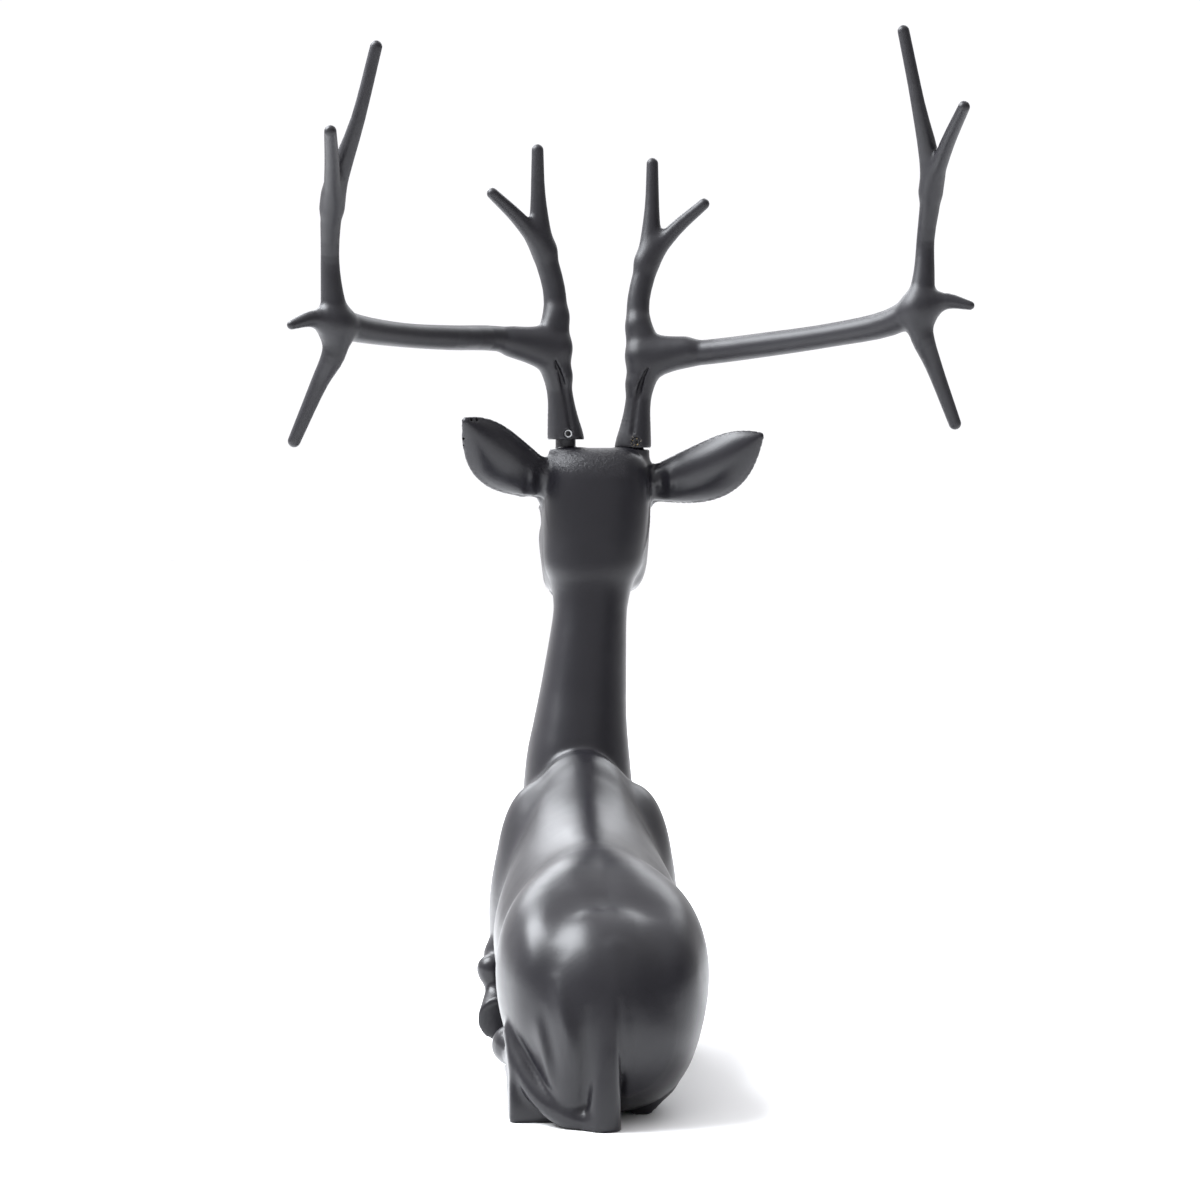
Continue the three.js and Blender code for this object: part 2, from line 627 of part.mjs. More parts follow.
// An antler and its screw on the peg of one side
function antlerSet(side, sign, gap, steel) {
  const group = new THREE.Group()
  group.position.copy(seatPlace(sign))
  group.position.z += gap
  group.rotation.z = radians(SETTING[side].turn)
  group.add(named(`antler_${side}`, antlerGeometry(sign, SETTING[side], gap), IRON))
  const screw = named(`set_screw_${side}`, setScrewGeometry(), steel)
  screw.position.set(0, PEG_DIAMETER / 2 + RUNNING_GAP, SCREW_ABOVE_RIM)
  group.add(screw)
  return group
}

const stag = new THREE.Group()
stag.add(named('stag_body', geometryOf(stagBody()), IRON))
stag.add(antlerSet('left', 1, LEFT_SEAT_GAP, LEFT_SCREW_STEEL))
stag.add(antlerSet('right', -1, RIGHT_SEAT_GAP, RIGHT_SCREW_STEEL))

// The origin is under the middle of the whole, on the floor.
const statue = new THREE.Group()
statue.add(stag)
const box = new THREE.Box3().setFromObject(stag, true)
const middle = box.getCenter(new THREE.Vector3())
stag.position.set(-middle.x, -middle.y, -box.min.z)

export default statue
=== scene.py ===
"""Cast iron stag lying on the floor, with two antlers clamped on pegs on its crown.

The free forms are drawn in steps, as places (forward, left, up) from the back of the tail at floor level. A
form is a function that answers how far points are outside it, less than nothing inside. Forms are joined with
fillets, and one skin is laid over the joined form, so each casting is a single closed surface.
"""

import bpy
import numpy as np
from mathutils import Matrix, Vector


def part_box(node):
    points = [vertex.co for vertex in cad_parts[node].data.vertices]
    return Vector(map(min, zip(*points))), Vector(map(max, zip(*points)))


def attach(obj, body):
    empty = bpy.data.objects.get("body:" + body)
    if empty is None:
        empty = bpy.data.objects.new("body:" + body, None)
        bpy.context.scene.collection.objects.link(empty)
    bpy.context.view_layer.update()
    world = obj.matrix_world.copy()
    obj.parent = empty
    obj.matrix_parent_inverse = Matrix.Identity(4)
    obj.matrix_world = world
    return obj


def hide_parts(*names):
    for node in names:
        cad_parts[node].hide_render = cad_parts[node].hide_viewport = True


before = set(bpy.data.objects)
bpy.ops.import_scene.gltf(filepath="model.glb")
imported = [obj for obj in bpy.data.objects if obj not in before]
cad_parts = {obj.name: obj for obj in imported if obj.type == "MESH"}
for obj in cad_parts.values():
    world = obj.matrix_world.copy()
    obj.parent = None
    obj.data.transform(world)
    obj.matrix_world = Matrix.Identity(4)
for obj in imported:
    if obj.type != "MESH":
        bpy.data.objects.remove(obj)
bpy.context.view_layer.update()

# Driving sizes, in metres, and how many steps the statue is high
STATUE_HEIGHT = 0.787
STEPS_IN_HEIGHT = 1150.6
STEP = STATUE_HEIGHT / STEPS_IN_HEIGHT
PEG_DIAMETER = 0.016
PEG_LENGTH = 0.015
SOCKET_CLEARANCE = 0.0005
SOCKET_EXTRA_DEPTH = 0.0015
SEAT_GAP = {"left": 0.008, "right": 0.0015}
SCREW_DIAMETER = 0.006
SCREW_LENGTH = 0.0054
SCREW_ABOVE_RIM = 0.0046
RUNNING_GAP = 0.0003

# Pose of the head, in degrees and steps: turned to the stag's left and tipped nose down
HEAD_TURN = 6
HEAD_TIP = 24
SKULL = (602, -25, 626)
PEDICLE_FOOT = (615, -25, 640)
PEDICLE_TOP = 686
PEDICLE_SPREAD = 39.7

# What a form answers where it is far away, in steps
FAR = 50.0

FORWARD = np.array([1.0, 0, 0])
LEFT = np.array([0, 1.0, 0])
UP = np.array([0, 0, 1.0])
turn, tip = np.radians(HEAD_TURN), np.radians(HEAD_TIP)
HEAD_FORWARD = np.array([np.cos(turn), np.sin(turn), 0])
HEAD_LEFT = np.array([-np.sin(turn), np.cos(turn), 0])
HEAD_ALONG = HEAD_FORWARD * np.cos(tip) - UP * np.sin(tip)
HEAD_UP = HEAD_FORWARD * np.sin(tip) + UP * np.cos(tip)
BODY_AXES = np.array([FORWARD, LEFT, UP])
HEAD_AXES = np.array([HEAD_ALONG, HEAD_LEFT, HEAD_UP])


def seat_place(sign):
    """Middle of a peg's seat, in steps."""
    foot = np.array(PEDICLE_FOOT) + sign * PEDICLE_SPREAD * HEAD_LEFT
    return np.array([foot[0], foot[1], PEDICLE_TOP])


# How each antler sits on its peg, in degrees: leaning back, leaning outward and turned to the stag's left
SETTING = {
    "left": {"sign": 1, "back": 3.5, "out": 0.4, "turn": HEAD_TURN + 0.6},
    "right": {"sign": -1, "back": -3.5, "out": -0.4, "turn": HEAD_TURN - 0.6},
}


def set_over(side):
    """Where the steps' origin lies in the frame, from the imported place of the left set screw."""
    low, high = (np.array(corner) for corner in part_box(f"set_screw_{side}"))
    setting = SETTING[side]
    facing = np.radians(setting["turn"])
    out = PEG_DIAMETER / 2 + RUNNING_GAP + SCREW_LENGTH / 2
    seat = seat_place(setting["sign"]) * STEP
    middle = np.array([seat[1] - out * np.sin(facing), -seat[0] + out * np.cos(facing)])
    return (low[:2] + high[:2]) / 2 - middle


ORIGIN = np.append(set_over("left"), 0.0)


def to_frame(points):
    """Places in steps as places in the frame: left is +X, backward is +Y and up is +Z."""
    points = np.asarray(points, float)
    return np.stack([points[..., 1], -points[..., 0], points[..., 2]], axis=-1) * STEP + ORIGIN


def smooth(share):
    """0 below 0, 1 above 1, and 3 s^2 - 2 s^3 between."""
    share = np.clip(share, 0.0, 1.0)
    return share * share * (3 - 2 * share)


def curve_through(rows, stretches):
    """Rows of a table with more between them, on the cubic whose slope at a row is half the way between its
    neighbours."""
    rows = np.asarray(rows, float)
    padded = np.vstack([rows[:1], rows, rows[-1:]])
    a, b, c, d = (padded[k : len(rows) - 1 + k][:, None] for k in range(4))
    t = (np.arange(stretches) / stretches)[None, :, None]
    rise, fall = (c - a) / 2, (d - b) / 2
    made = b + rise * t + (3 * (c - b) - 2 * rise - fall) * t**2 + (2 * (b - c) + rise + fall) * t**3
    return np.vstack([made.reshape(-1, rows.shape[1]), rows[-1:]])


def smooth_path(rows, stretches=4):
    """Points on a smooth path through rows of (forward, left, up, radius): a cubic between each two rows,
    whose slopes weigh the ways to the neighbours by the square roots of their lengths."""
    rows = np.asarray(rows, float)
    padded = np.vstack([2 * rows[0] - rows[1], rows, 2 * rows[-1] - rows[-2]])
    spans = np.sqrt(np.linalg.norm(np.diff(padded[:, :3], axis=0), axis=1))[:, None]
    before, span, after = spans[:-2], spans[1:-1], spans[2:]
    a, b, c, d = padded[:-3], padded[1:-2], padded[2:-1], padded[3:]
    first = ((b - a) / before - (c - a) / (before + span) + (c - b) / span) * span
    last = ((c - b) / span - (d - b) / (span + after) + (d - c) / after) * span
    t = (np.arange(stretches) / stretches)[None, :, None]
    a, b, c, d = b[:, None], first[:, None], last[:, None], c[:, None]
    made = a + b * t + (3 * (d - a) - 2 * b - c) * t**2 + (2 * (a - d) + b + c) * t**3
    return np.vstack([made.reshape(-1, 4), rows[-1:]])


def egg(centre, halves, tip=0, turn=0):
    """An ellipsoid, tipped nose down and turned to the left by some degrees: with r the point's distance from
    the centre in half sizes and s that distance in squared half sizes, r (r - 1) / s."""
    slope, side = np.radians(tip), np.radians(turn)
    heading = np.array([np.cos(side), np.sin(side), 0])
    across = np.array([-np.sin(side), np.cos(side), 0])
    along = heading * np.cos(slope) - UP * np.sin(slope)
    axes = np.array([along, across, heading * np.sin(slope) + UP * np.cos(slope)])
    centre, halves = np.array(centre, float), np.array(halves, float)

    def form(points):
        parts = (points - centre) @ axes.T
        near = np.sqrt(((parts / halves) ** 2).sum(1))
        steep = np.sqrt(((parts / halves**2) ** 2).sum(1))
        return near * (near - 1) / np.maximum(steep, 1e-9)

    return form


def sections(origin, axes, rows):
    """Rounded sections along one axis. A row is (along, half width, middle, up, down, fullness), and a
    section is the curve |side / width| ^ fullness + |rise / height| ^ fullness = 1."""
    table = curve_through(rows, 8)
    first, last = table[0, 0], table[-1, 0]
    origin = np.array(origin, float)

    def form(points):
        along, side, rise = ((points - origin) @ axes.T).T
        width, middle, high, low, fullness = (np.interp(along, table[:, 0], column) for column in table.T[1:])
        side = np.abs(side)
        rise = rise - middle
        height = np.where(rise > 0, high, low)
        reach = ((side / width) ** fullness + (np.abs(rise) / height) ** fullness) ** (1 / fullness)
        across = np.hypot(side, rise) * (1 - 1 / np.maximum(reach, 0.05))
        across = np.where(reach > 0.05, across, -np.minimum(width, height))
        return np.maximum(across, np.maximum(first - along, along - last))

    return form


def column(rows, fullness=2.4, rounding=30):
    """An upright form in level sections. A row is (up, forward, left, half width, half depth), and a section
    is the curve |side / width| ^ fullness + |ahead / depth| ^ fullness = 1. The ends are rounded."""
    table = curve_through(rows, 8)
    levels = table[:, 0]

    def form(points):
        height = points[:, 2]
        forward, left, width, depth = (np.interp(height, levels, part) for part in table.T[1:])
        ahead, side = np.abs(points[:, 0] - forward), np.abs(points[:, 1] - left)
        reach = ((side / width) ** fullness + (ahead / depth) ** fullness) ** (1 / fullness)
        gap = np.hypot(side, ahead) * (1 - 1 / np.maximum(reach, 0.05))
        gap = np.where(reach > 0.05, gap, -np.minimum(width, depth))
        beyond = np.maximum(levels[0] - height, height - levels[-1])
        near = np.maximum(rounding - np.abs(gap - beyond), 0) / rounding
        return np.maximum(gap, beyond) + near * near * rounding / 4

    return form


def limb(rows, stretches=4):
    """A round limb on the smooth path through its rows (forward, left, up, radius): the distance to the
    nearest point of the path, less the radius there."""
    path = smooth_path(rows, stretches)
    reach = path[:, 3:].max() + FAR
    low, high = path[:, :3].min(0) - reach, path[:, :3].max(0) + reach

    def form(points):
        least = np.full(len(points), FAR)
        here = ((points > low) & (points < high)).all(1)
        close = points[here]
        nearest = np.full(len(close), np.inf)
        for start, end in zip(path[:-1], path[1:]):
            run = end[:3] - start[:3]
            share = np.clip((close - start[:3]) @ run / (run @ run), 0, 1)
            gap = np.linalg.norm(close - start[:3] - share[:, None] * run, axis=1)
            nearest = np.minimum(nearest, gap - start[3] - share * (end[3] - start[3]))
        least[here] = nearest
        return least

    return form


def slab(middle, normal, half):
    """Space between two planes: the distance along the normal from the middle, less the half thickness."""
    middle, normal = np.array(middle, float), np.array(normal, float)
    normal = normal / np.linalg.norm(normal)
    return lambda points: np.abs((points - middle) @ normal) - half


def above(height):
    """Space above a level."""
    return lambda points: height - points[:, 2]


def join(size, first, *others):
    """Forms joined with a fillet: the lower of two values, less q^2 size / 4 with q the share of size by
    which they are closer than it."""

    def form(points):
        value = first(points)
        for other in others:
            second = other(points)
            near = np.maximum(size - np.abs(value - second), 0) / size
            value = np.minimum(value, second) - near * near * size / 4
        return value

    return form


def keep_within(size, first, *others):
    """What is inside all forms, with rounded edges: the higher of two values, plus q^2 size / 4."""

    def form(points):
        value = first(points)
        for other in others:
            second = other(points)
            near = np.maximum(size - np.abs(value - second), 0) / size
            value = np.maximum(value, second) + near * near * size / 4
        return value

    return form


def carve(size, first, *others):
    """The first form with the others cut out of it, with rounded edges."""
    return keep_within(size, first, *((lambda points, cut=other: -cut(points)) for other in others))


def both_sides(place, make):
    """The form at a place and its twin on the stag's right."""
    forward, left, up = place
    return [make((forward, left, up)), make((forward, -left, up))]


# Trunk from the hips to the shoulders, in sections along the back
TRUNK_ROWS = [
    (46, 56, 104, 56, 72, 2.0),
    (68, 76, 112, 74, 90, 2.1),
    (95, 93, 122, 92, 110, 2.4),
    (120, 102, 130, 104, 128, 2.4),
    (150, 105, 136, 115, 142, 2.3),
    (180, 104, 140, 121, 152, 2.2),
    (210, 103, 143, 122, 157, 2.05),
    (250, 102, 146, 120, 158, 1.85),
    (290, 100, 148, 119, 158, 1.75),
    (340, 105, 150, 124, 158, 1.8),
    (380, 106, 150, 134, 158, 1.85),
    (420, 101, 150, 150, 158, 1.85),
    (455, 93, 150, 170, 158, 1.9),
    (485, 89, 150, 188, 156, 2.0),
    (510, 88, 150, 192, 153, 2.1),
    (545, 84, 150, 162, 150, 2.1),
    (600, 70, 150, 110, 120, 2.0),
]

# Head from the back of the skull to the muzzle, in sections along its length
HEAD_ROWS = [
    (10, 57, 0, 54, 72, 2.5),
    (45, 61, -4, 52, 88, 3.4),
    (80, 58, 0, 42, 82, 2.8),
    (118, 48, 0, 35, 64, 2.3),
    (158, 38, 0, 29, 50, 2.3),
    (193, 33, 0, 26, 42, 2.4),
    (222, 31, 0, 24, 36, 2.5),
]

NECK_ROWS = [
    (190, 560, 2, 76, 84),
    (260, 572, 2, 66.5, 76),
    (329, 579, 2, 59.7, 69),
    (375, 584, -1, 53.3, 62),
    (419, 589, -5.5, 48.6, 55),
    (488, 594, -12, 42.8, 48),
    (512, 597, -14, 43.5, 47),
    (532, 600, -15, 48, 48),
    (556, 602, -17, 57, 50),
    (600, 606, -20, 60, 50),
    (645, 610, -22, 60, 48),
    (688, 613, -23, 56, 45),
]


def torso():
    """Hips with the ridge of the left ham, haunches, belly, shoulders, chest and neck, with the hollow along
    the spine pressed in."""
    form = sections((0, 0, 0), BODY_AXES, TRUNK_ROWS)
    form = join(10, form, egg((113, 0, 112), (102, 98, 110)))
    form = join(22, form, egg((68, 33, 62), (54, 34, 82)), egg((92, -35, 89), (66, 52, 67)))
    ham = limb([(98, 96, 88, 9), (74, 86, 56, 11), (52, 66, 28, 13), (34, 40, 12, 14), (26, 22, 8, 14)])
    form = join(7, form, ham)
    chest = egg((592, 0, 158), (84, 80, 124))
    form = join(40, form, chest)
    haunches = egg((165, 56, 146), (114, 50, 84), 0, -6), egg((185, -58, 144), (142, 50, 84), 0, 4)
    form = join(20, form, *haunches)
    shoulders = egg((500, 56, 196), (56, 44, 110), 12), egg((500, -60, 194), (56, 43, 112), 12)
    form = join(22, form, *shoulders)
    elbows = both_sides((522, 70, 150), lambda at: egg(at, (62, 36, 84)))
    form = join(18, form, *elbows)
    return press(join(14, form, column(NECK_ROWS)), spine_hollow)


def press(form, hollow):
    """A form pressed in by as many steps as the hollow says at each point."""
    return lambda points: form(points) + hollow(points)


# Depth and width of the crease and of the hollow over the spine, in steps
CREASE_DEPTH = 1.6
CREASE_WIDTH = 10
HOLLOW_DEPTH = 4.5
HOLLOW_WIDTH = 30


def spine_hollow(points):
    """A crease over the croup in a wider hollow between the haunches: depth times
    exp(-sqrt(side^2 + 12) / width) and depth times exp(-(side / width)^2). Both die out along the back, over
    the tail and down the rump."""
    forward, left, up = points.T
    side = left + 3.0 - 5.0 * smooth((forward - 180) / 150)
    top = smooth((up - 90) / 130)
    crease = CREASE_DEPTH * np.exp(-np.sqrt(side**2 + 12) / CREASE_WIDTH)
    crease = crease * smooth((forward + 20) / 170) * smooth((260 - forward) / 120)
    wide = HOLLOW_DEPTH * np.exp(-((side / HOLLOW_WIDTH) ** 2))
    wide = wide * smooth((forward + 40) / 200) * smooth((280 - forward) / 150)
    return (crease + wide) * top


# Jaw, deep and square at its back corners, and set a little to the left
JAW_ASIDE = 3.8
JAW_ROWS = [
    (28, 46, -36, 26, 38, 3.2),
    (46, 56, -38, 34, 47, 5.0),
    (74, 57, -38, 36, 47, 6.0),
    (98, 50, -34, 30, 39, 4.0),
    (130, 38, -28, 24, 28, 2.6),
]


def head_place(along, side, rise):
    """A place from the skull's: along the face, to the stag's left and up from the face."""
    return tuple(np.array(SKULL) + along * HEAD_ALONG + side * HEAD_LEFT + rise * HEAD_UP)


def head_limb(*rows):
    """A limb through rows (along, side, rise, radius) of the head's own places."""
    return limb([head_place(*row[:3]) + (row[3],) for row in rows])


def head():
    """Skull, face, jaw and muzzle, with brows, eyes, nostrils and mouth."""
    form = sections(SKULL, HEAD_AXES, HEAD_ROWS)
    form = join(12, form, sections(np.array(SKULL) + HEAD_LEFT * JAW_ASIDE, HEAD_AXES, JAW_ROWS))
    form = join(12, form, egg((803, -3, 530), (27, 30, 31), 15))
    for sign in (1, -1):
        brow = head_limb((64, sign * 51, 16, 6), (84, sign * 53, 27, 6), (106, sign * 44, 23, 5))
        cheek = head_limb((96, sign * 46, -12, 9), (128, sign * 38, -14, 8), (160, sign * 30, -12, 7))
        form = join(9, form, brow, cheek)
        socket = egg(head_place(88, sign * 58, 12), (19, 9, 11), HEAD_TIP, HEAD_TURN)
        form = carve(6, form, socket)
        eyeball = egg(head_place(87, sign * 46, 12), (13, 10, 9), HEAD_TIP, HEAD_TURN)
        lid = head_limb((72, sign * 51, 8, 2.6), (86, sign * 54, 3, 2.6), (101, sign * 48, 8, 2.6))
        form = join(2.5, form, eyeball, lid)
        nostril = egg(head_place(250, sign * 15, 5), (10, 5, 7), HEAD_TIP, HEAD_TURN - sign * 25)
        form = carve(4, form, nostril)
    mouth = head_limb((182, 36, -15, 2), (205, 34, -17, 3), (232, 27, -17, 3), (251, 0, -17, 3),
                      (232, -27, -17, 3), (205, -34, -17, 3), (182, -36, -15, 2))
    return carve(3, form, mouth)


# Ear: a leaf hollowed on its front side, from inside the skull to its tip
EAR_ROOT = (622, -23, 646)
EAR_ROOT_OUT = 60
EAR_LIFT = {"left": 1, "right": -3}
EAR_REACH = {"left": 109, "right": 120}
EAR_BACK = 86
EAR_RISE = {"left": 75, "right": 62}
EAR_HALF_WIDTH = 34
EAR_SAG = {"left": 11, "right": 13}
EAR_RIM = 2.6
EAR_CUP = 0.40
EAR_BEGIN = -0.12
EAR_END = 0.972


def ear(side):
    """A curved sheet over a leaf outline. In the ear's own places (s along it, t across it, d out of its
    front) the sheet's middle lies at minus cup times width times 1 - (t / width)^2, and it thins to a rim."""
    sign = SETTING[side]["sign"]
    root = np.array(EAR_ROOT) + HEAD_LEFT * sign * EAR_ROOT_OUT + UP * EAR_LIFT[side]
    along = HEAD_LEFT * sign * EAR_REACH[side] - HEAD_FORWARD * EAR_BACK + UP * EAR_RISE[side]
    length = np.linalg.norm(along)
    along = along / length
    front = np.array([0.85, 0.45 * sign, 0.26])
    front = front - (front @ along) * along
    front = front / np.linalg.norm(front)
    across = np.cross(along, front) * sign
    across = across if across[2] > 0 else -across

    def form(points):
        least = np.full(len(points), FAR)
        offset = points - root
        s = offset @ along / length
        here = (s > -0.5) & (s < 1.4) & (np.abs(offset @ across) < 95) & (np.abs(offset @ front) < 95)
        s = s[here]
        inside = np.clip(s, EAR_BEGIN, EAR_END)
        t = offset[here] @ across + EAR_SAG[side] * np.sin(np.pi * np.clip(s, 0, 1))
        d = offset[here] @ front
        lower = 0.56 + 0.44 * np.sin(np.pi * np.maximum(inside, 0))
        leaf = np.where(inside < 0.5, lower, 1 - np.abs(2 * inside - 1) ** 2.4)
        width = np.maximum(EAR_HALF_WIDTH * leaf - EAR_RIM, 0.5)
        open_share = smooth((inside - 0.06) / 0.30)
        held = np.clip(t, -width, width)
        belly = 1 - (held / width) ** 2
        middle = -width * belly * EAR_CUP * open_share
        thick = width * (0.50 - 0.36 * open_share) * np.sqrt(belly) + EAR_RIM
        beyond = np.maximum(np.abs(s - inside) * length, 0)
        least[here] = np.sqrt((t - held) ** 2 + (d - middle) ** 2 + beyond**2) - thick
        return least

    return form


def pedicle(side):
    """Tapered stump under an antler, with its flat seat."""
    seat = seat_place(SETTING[side]["sign"])
    rows = [tuple(seat + UP * rise) + (radius,) for rise, radius in ((-52, 20), (-22, 18.4), (30, 20.6))]
    return keep_within(2, limb(rows), slab(seat - UP * 60, UP, 60))


def peg(side):
    """Round peg standing on the seat, with a chamfered top."""
    seat = seat_place(SETTING[side]["sign"])
    return keep_within(1.5, upright(seat, PEG_DIAMETER / 2 / STEP, PEG_LENGTH / STEP), above(seat[2] - 8))


def tail():
    """Tail pressed against the rump, down to its blunt end."""
    return limb([(50, -6, 175, 12), (30, -4, 130, 14), (22, 0, 90, 15.5), (18.5, 4, 40, 16.5),
                 (18, 6.5, -12, 17.5)])


def wedge(size, *planes_of):
    """What lies behind all planes, each given by a place on it and its outward way, with rounded edges."""
    reach = 200
    faces = []
    for place, way in planes_of:
        way = np.array(way, float) / np.linalg.norm(way)
        faces.append(slab(np.array(place, float) - way * reach, way, reach))
    return keep_within(size, *faces)


def legs():
    """Folded legs: the hind ones along the floor, the front ones with the hoofs turned back at the elbows."""
    hind_left = limb([(150, 78, 60, 24), (108, 74, 34, 24), (150, 77, 22, 20), (240, 78, 16, 15),
                      (330, 79, 17, 15), (366, 80, 24, 18), (388, 86, 29, 22), (408, 86, 21, 18),
                      (438, 85, 12, 11)])
    hock_left = wedge(8, ((62, 0, 0), -FORWARD), ((0, 100, 0), LEFT), ((0, 47, 0), (0, -0.868, 0.498)),
                      ((62, 0, 30), (-0.93, 0, 0.37)), ((130, 0, 0), FORWARD))
    hind_right = limb([(150, -42, 17, 18), (200, -52, 17, 17), (260, -68, 17, 16), (330, -80, 18, 17),
                       (372, -82, 22, 23), (430, -82, 14, 12)])
    hock_right = wedge(5, ((104, 0, 0), -FORWARD), ((0, -29, 0), LEFT), ((0, -47.7, 0), (0, -0.726, -0.688)),
                       ((0, 0, 44), UP), ((180, 0, 0), FORWARD), ((0, -74, 0), -LEFT))
    made = [hind_left, hock_left, hind_right, hock_right]
    for sign in (1, -1):
        made.append(limb([(500, sign * 80, 110, 34), (560, sign * 82, 68, 27), (612, sign * 76, 33, 23)]))
        made.append(limb([(612, sign * 76, 30, 20), (540, sign * 92, 64, 14), (470, sign * 105, 102, 16)]))
        hoof = limb([(472, sign * 104, 100, 15), (462, sign * 102, 80, 11), (453, sign * 100, 64, 17),
                     (437, sign * 98, 49, 24), (420, sign * 97, 42, 25)])
        made.append(keep_within(3, hoof, wedge(1, ((437, 0, 50), (-0.97, 0, -0.2)))))
    return join(8, *made)


# Folds of the rump, as two ends (left, up), half width and how far they are pressed in (below 0: raised)
REAR_FOLDS = [
    ((-9, 132), (-13, 14), 3.5, 2.6),
    ((-19, 110), (-20, 20), 5, -1.6),
    ((24, 120), (29, 20), 5, 2.4),
    ((53, 150), (36, 66), 7, -3.4),
    ((66, 118), (52, 58), 6, 2.2),
    ((72, 104), (60, 44), 5, -2.0),
]

# Small upright folds at the roots of the ears, as (left, up, half width, rise)
EAR_FOLDS = [
    (-78, 646, 3.5, 2.2),
    (-90, 647, 4, 2.6),
    (-106, 648, 4.5, 2.4),
    (54, 650, 4, 2.4),
    (66, 634, 5, 1.6),
]
EAR_FOLD_HEIGHT = 12


def skin_folds(points):
    """How far the skin is pressed in at points: the folds of the rump, each depth times exp(-(distance from
    its line / width)^2) and fading to its ends, and those of the ear roots, each minus rise times
    exp(-(side / width)^2 - (height / fold height)^2)."""
    forward, left, up = points.T
    pressed = np.zeros(len(points))
    rump = smooth((90 - forward) / 30)
    for start, end, width, depth in REAR_FOLDS:
        run = np.subtract(end, start)
        share = np.clip(((left - start[0]) * run[0] + (up - start[1]) * run[1]) / (run @ run), 0, 1)
        away = np.hypot(left - start[0] - share * run[0], up - start[1] - share * run[1])
        fade = np.sin(np.pi * (0.12 + 0.76 * share))
        pressed += depth * fade * np.exp(-((away / width) ** 2)) * rump
    behind = smooth((612 - forward) / 12) * smooth((forward - 540) / 12)
    for side, height, width, rise in EAR_FOLDS:
        aside, over = (left - side) / width, (up - height) / EAR_FOLD_HEIGHT
        pressed -= rise * np.exp(-(aside**2) - over**2) * behind
    return pressed


def stag():
    """The whole body casting, cut flat at the floor."""
    form = join(12, torso(), head())
    form = join(7, form, legs())
    form = join(9, form, tail())
    form = join(17, form, ear("left"), ear("right"))
    form = join(7, form, pedicle("left"), pedicle("right"))
    form = join(1, form, peg("left"), peg("right"))
    return keep_within(2, press(form, skin_folds), above(0))


# Antler limbs as rows of (outward, forward, up, radius) in steps from the middle of the base rim
ANTLER_LIMBS = {
    "brow stem": [(-1, 0, -8, 21.5), (0, 0, 2, 21), (3, 0, 22, 18), (6, 0, 47, 15), (10, 1, 80, 15),
                  (10, 3, 108, 15.5), (10, 10, 140, 14), (12, 15, 175, 13), (26, 18, 230, 13),
                  (30, 18, 283, 8.5), (31, 16, 333, 6.8)],
    "brow tine": [(22, 17, 218, 11.5), (55, 7, 255, 8.5), (87, -8, 283, 6.5)],
    "crotch web": [(8, -1, 74, 13), (22, -4, 94, 16), (62, -11, 110, 13.5)],
    "upper web": [(10, 6, 142, 12), (24, 0, 122, 12), (58, -8, 114, 12.5)],
    "beam": [(10, -3, 106, 15), (79, -14, 113, 14.5), (148, -83, 117, 14), (206, -141, 122, 13.5),
             (262, -198, 131, 15), (291, -226, 143, 17)],
    "tall stem": [(290, -224, 138, 17), (295, -226, 178, 12), (297, -228, 217, 10), (296, -264, 282, 12),
                  (274, -297, 360, 7.6), (256, -311, 436, 6.5)],
    "second tine": [(297, -254, 268, 10), (303, -309, 312, 8), (310, -360, 346, 6.5)],
    "short tine": [(290, -226, 142, 15), (318, -238, 147, 9), (341, -250, 141, 5)],
    "low tine": [(287, -222, 138, 16), (293, -222, 108, 13), (307, -213, 78, 9.5), (334, -200, 13, 7)],
}

# The middle of each beam bows up or down from the pattern by so many steps
BEAM_BOW = {"left": 4, "right": -4}

# Groove between an antler's stem and its web, in the same kind of rows
SEAM_ROWS = [(-3, -18, 16, 2.2), (1, -15.5, 44, 2.8), (9, -14, 76, 2.8), (16, -17, 92, 1.6)]

# Space cut away under an antler's rim, in steps
BELOW_RIM_RADIUS = 70
BELOW_RIM_DEPTH = 80
SCREW_HOLE_REACH = 45


def rim_and_facing(side):
    """Middle of an antler's base rim, in steps, and the way that it faces, in radians to the stag's left."""
    setting = SETTING[side]
    rim = seat_place(setting["sign"]) + UP * SEAT_GAP[side] / STEP
    return rim, np.radians(setting["turn"])


